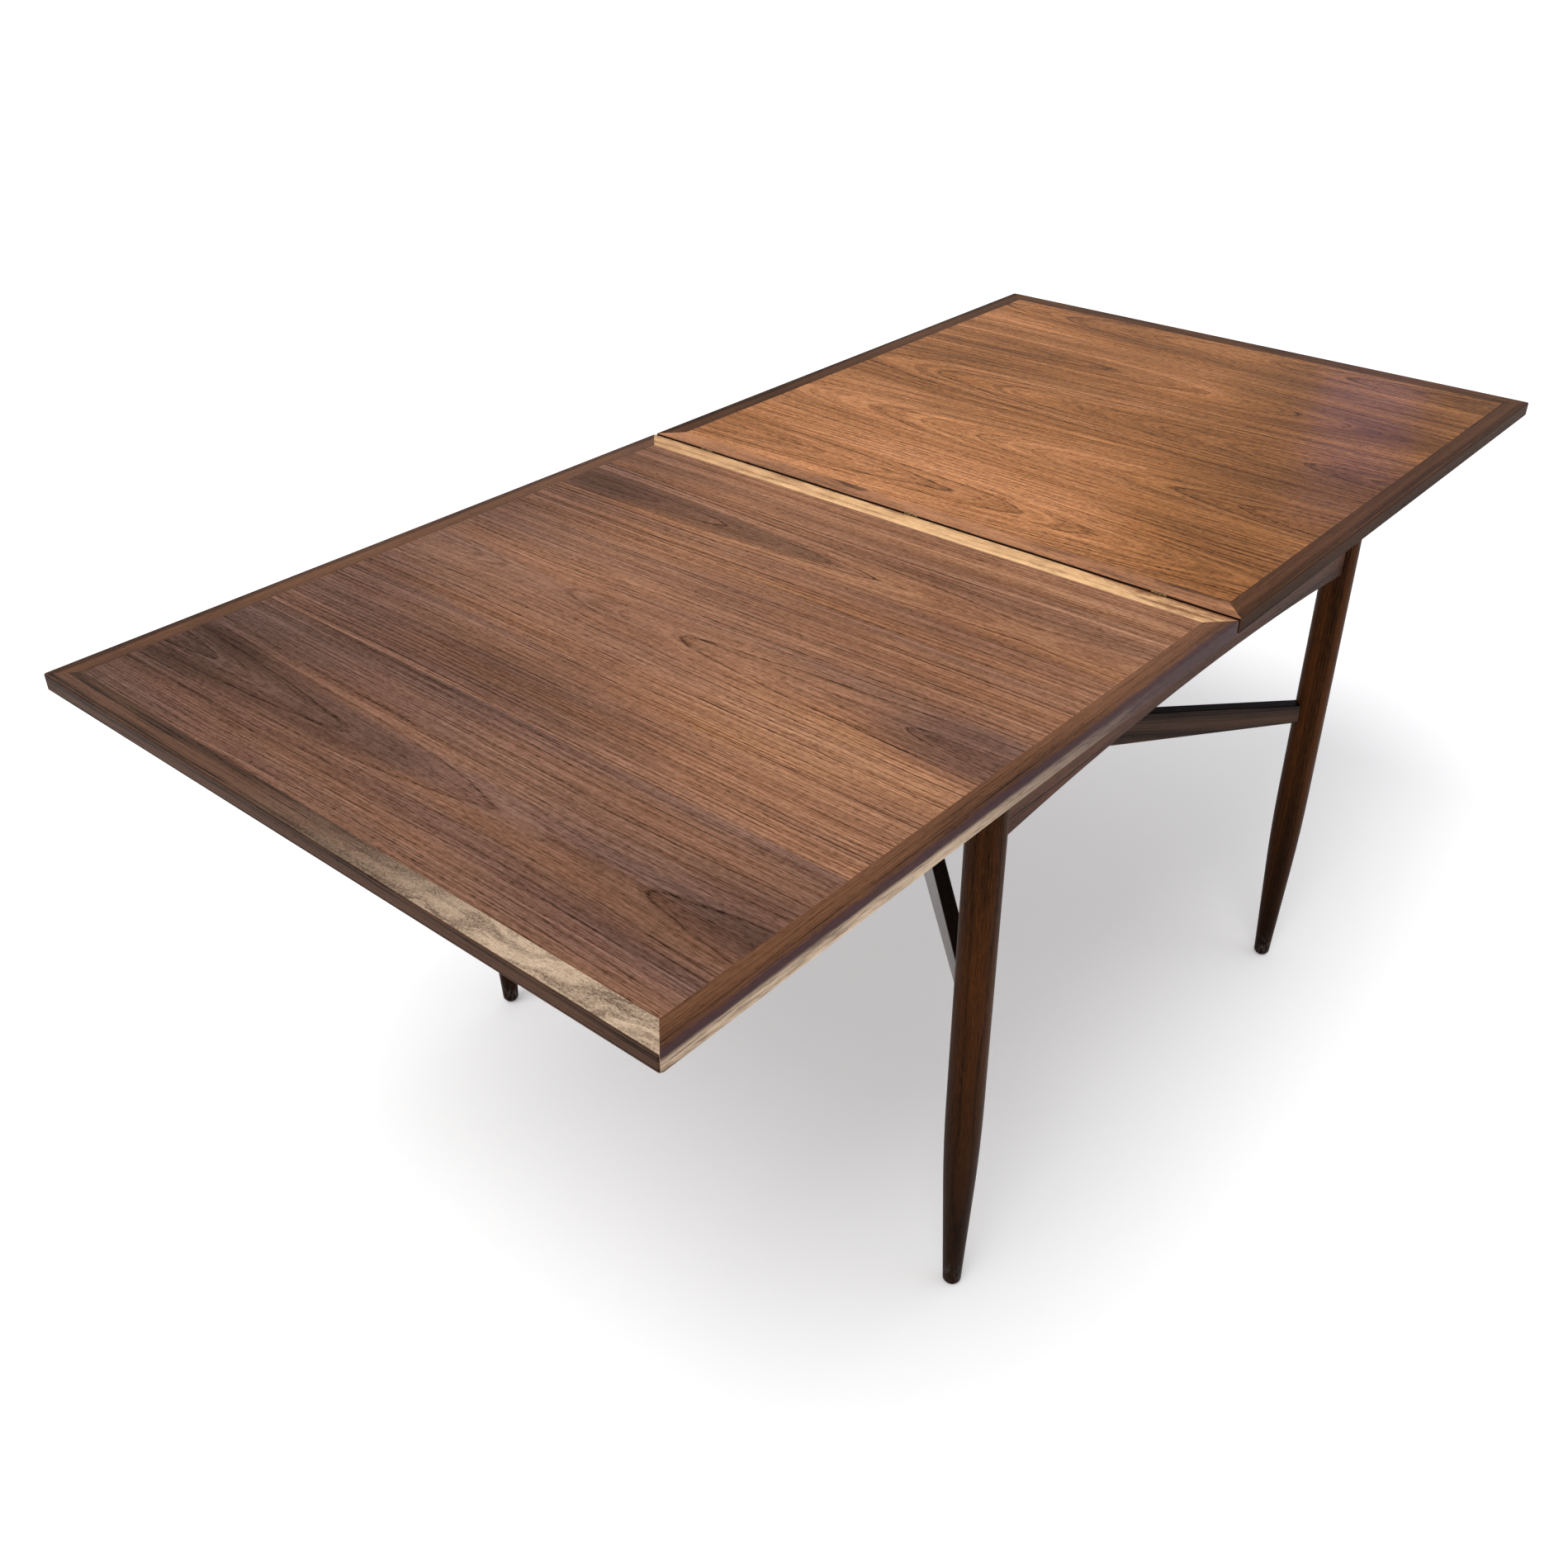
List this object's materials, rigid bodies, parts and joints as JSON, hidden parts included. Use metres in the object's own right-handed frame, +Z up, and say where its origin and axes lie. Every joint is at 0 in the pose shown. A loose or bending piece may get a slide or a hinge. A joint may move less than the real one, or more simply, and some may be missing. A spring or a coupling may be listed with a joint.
{
  "type": "flip-top table",
  "caption": "Walnut dining table on turned legs with crossed stretchers; a hinged leaf flips over onto the other and the folded top slides to the middle of the base.",
  "frame": {"origin": "on the floor, under the middle of the base and of the opened top", "axes": "+X along the opened top towards the leaf that slides, +Y to the left side, +Z up"},
  "size_m": [1.8, 0.888, 0.7387],
  "materials": {
    "walnut_veneer": "satin oil",
    "walnut_lipping": "satin oil",
    "sapwood_lipping": "satin oil",
    "walnut_base": "satin oil",
    "beech": "bare, sanded",
    "core_board": "bare board",
    "aged_brass": "aged, dark",
    "screw_steel": "zinc plated",
    "glide_steel": "blackened",
    "felt": "wool felt"
  },
  "bodies": {
    "base": {"apron_dowels": "beech", "corner_block_flip_end_left": "beech", "corner_block_flip_end_right": "beech", "corner_block_screws": "screw_steel", "corner_block_slide_end_left": "beech", "corner_block_slide_end_right": "beech", "end_apron_flip_end": "walnut_base", "end_apron_slide_end": "walnut_base", "felt_strip_flip_end": "felt", "felt_strip_left": "felt", "felt_strip_right": "felt", "felt_strip_slide_end": "felt", "foot_glide_flip_end_left": "glide_steel", "foot_glide_flip_end_right": "glide_steel", "foot_glide_slide_end_left": "glide_steel", "foot_glide_slide_end_right": "glide_steel", "guide_rail_left": "beech", "guide_rail_right": "beech", "hanger_bolt_nuts": "screw_steel", "hanger_bolts": "screw_steel", "leg_flip_end_left": "walnut_base", "leg_flip_end_right": "walnut_base", "leg_slide_end_left": "walnut_base", "leg_slide_end_right": "walnut_base", "side_apron_left": "walnut_base", "side_apron_right": "walnut_base", "slide_stop_pegs": "beech", "stretcher_dowels": "beech", "stretcher_lap_screw": "screw_steel", "stretcher_lower": "walnut_base", "stretcher_upper": "walnut_base"},
    "sliding_leaf": {"hinge_pins": "aged_brass", "runner_left": "beech", "runner_right": "beech", "runner_screws": "screw_steel", "sliding_leaf_back_veneer": "walnut_veneer", "sliding_leaf_core": "core_board", "sliding_leaf_end_lipping": "walnut_lipping", "sliding_leaf_face_veneer": "walnut_veneer", "sliding_leaf_hinge_lipping": "walnut_lipping", "sliding_leaf_hinge_plates": "aged_brass", "sliding_leaf_hinge_screws": "screw_steel", "sliding_leaf_left_lipping": "walnut_lipping", "sliding_leaf_right_lipping": "walnut_lipping"},
    "flip_leaf": {"flip_leaf_back_veneer": "walnut_veneer", "flip_leaf_core": "core_board", "flip_leaf_end_lipping": "sapwood_lipping", "flip_leaf_face_veneer": "walnut_veneer", "flip_leaf_hinge_lipping": "sapwood_lipping", "flip_leaf_hinge_plates": "aged_brass", "flip_leaf_hinge_screws": "screw_steel", "flip_leaf_left_lipping": "walnut_lipping", "flip_leaf_right_lipping": "walnut_lipping"}
  },
  "joints": [
    {"name": "top_slide", "type": "slide", "parent": "base", "child": "sliding_leaf", "axis": [-1, 0, 0], "range_m": [0, 0.45125]},
    {"name": "leaf_flip", "type": "hinge", "parent": "sliding_leaf", "child": "flip_leaf", "pos_m": [0, 0, 0.73715], "axis": [0, 1, 0], "range_deg": [0, 180]}
  ]
}
